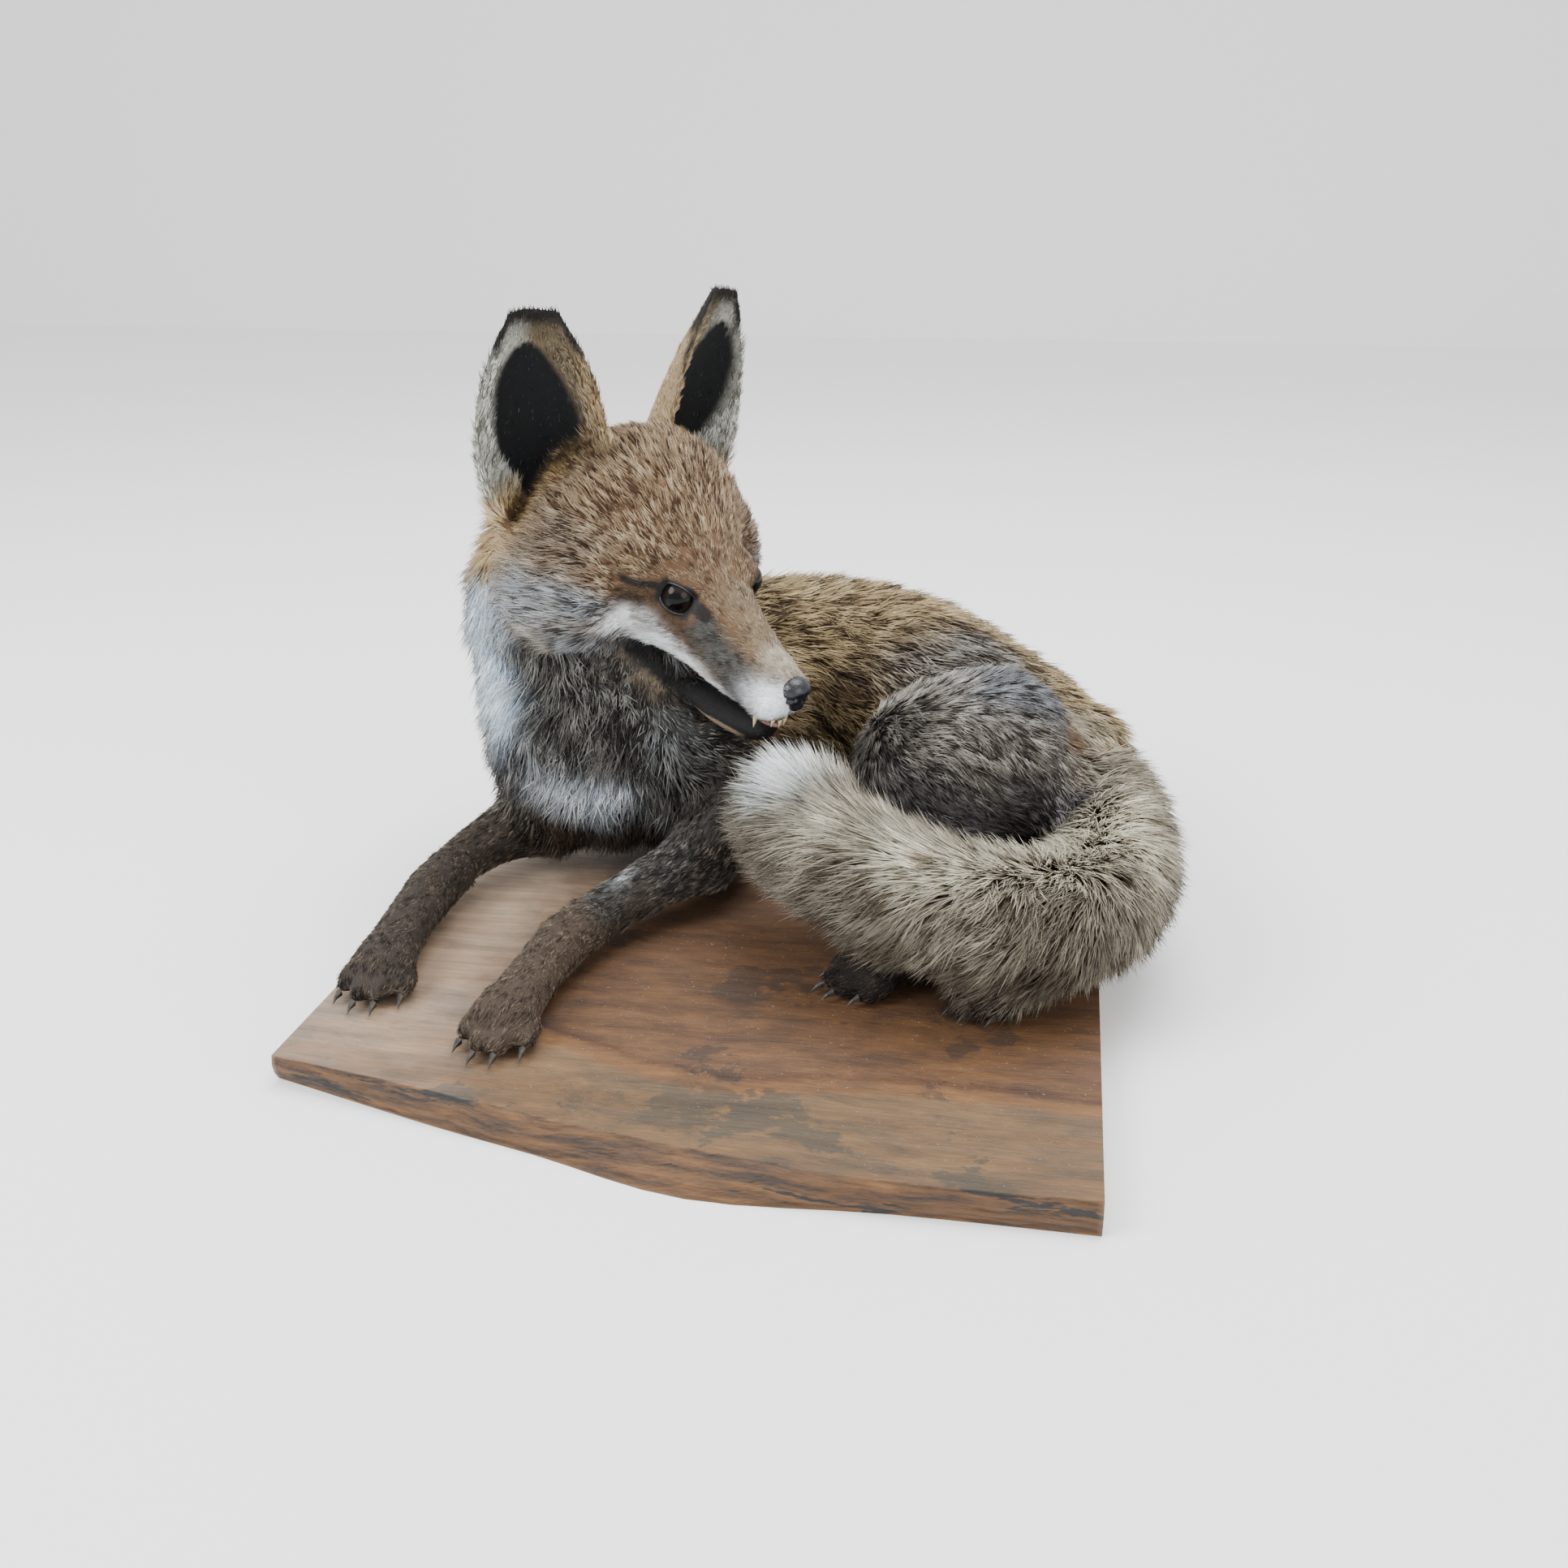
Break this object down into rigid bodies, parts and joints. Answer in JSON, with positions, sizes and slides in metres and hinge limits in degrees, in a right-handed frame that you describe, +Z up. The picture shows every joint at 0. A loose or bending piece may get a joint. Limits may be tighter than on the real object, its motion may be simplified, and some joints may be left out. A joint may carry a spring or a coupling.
{
  "type": "taxidermy fox",
  "caption": "Stuffed red fox at life size, lying curled with its head up, forelegs forward and brush round its flank, on a live-edge wooden board.",
  "frame": {"origin": "middle of the board's underside", "axes": "+X along the board, towards the animal's rump; +Y to the board's straight back edge; +Z up; the chest and paws face -Y"},
  "size_m": [0.4177, 0.463, 0.3326],
  "materials": {
    "red_fur": "grizzled tawny fur",
    "pale_fur": "whitish to grey-brown fur",
    "dark_fur": "short dark brown fur with tan flecks",
    "tail_fur": "long cream and brown fur",
    "nose": "glossy black",
    "eyes": "polished dark glass",
    "claws": "dull horn",
    "wood": "oiled, with a natural front edge"
  },
  "bodies": {
    "root": {"board": "wood", "claw_forepaw_left_1": "claws", "claw_forepaw_left_2": "claws", "claw_forepaw_left_3": "claws", "claw_forepaw_left_4": "claws", "claw_forepaw_right_1": "claws", "claw_forepaw_right_2": "claws", "claw_forepaw_right_3": "claws", "claw_forepaw_right_4": "claws", "claw_hindfoot_left_1": "claws", "claw_hindfoot_left_2": "claws", "claw_hindfoot_left_3": "claws", "claw_hindfoot_left_4": "claws", "claw_hindfoot_right_1": "claws", "claw_hindfoot_right_2": "claws", "claw_hindfoot_right_3": "claws", "claw_hindfoot_right_4": "claws", "ear_left": "red_fur", "ear_right": "red_fur", "eye_left": "eyes", "eye_right": "eyes", "foreleg_left": "dark_fur", "foreleg_right": "dark_fur", "forepaw_left": "dark_fur", "forepaw_right": "dark_fur", "head": "red_fur", "hindfoot_left": "dark_fur", "hindfoot_right": "dark_fur", "hindleg_left": "dark_fur", "lower_jaw": "pale_fur", "neck": "pale_fur", "nose": "nose", "tail_base": "tail_fur", "tail_end": "tail_fur", "tail_middle": "tail_fur", "thigh_left": "red_fur", "thigh_right": "red_fur", "trunk": "red_fur"}
  },
  "joints": []
}
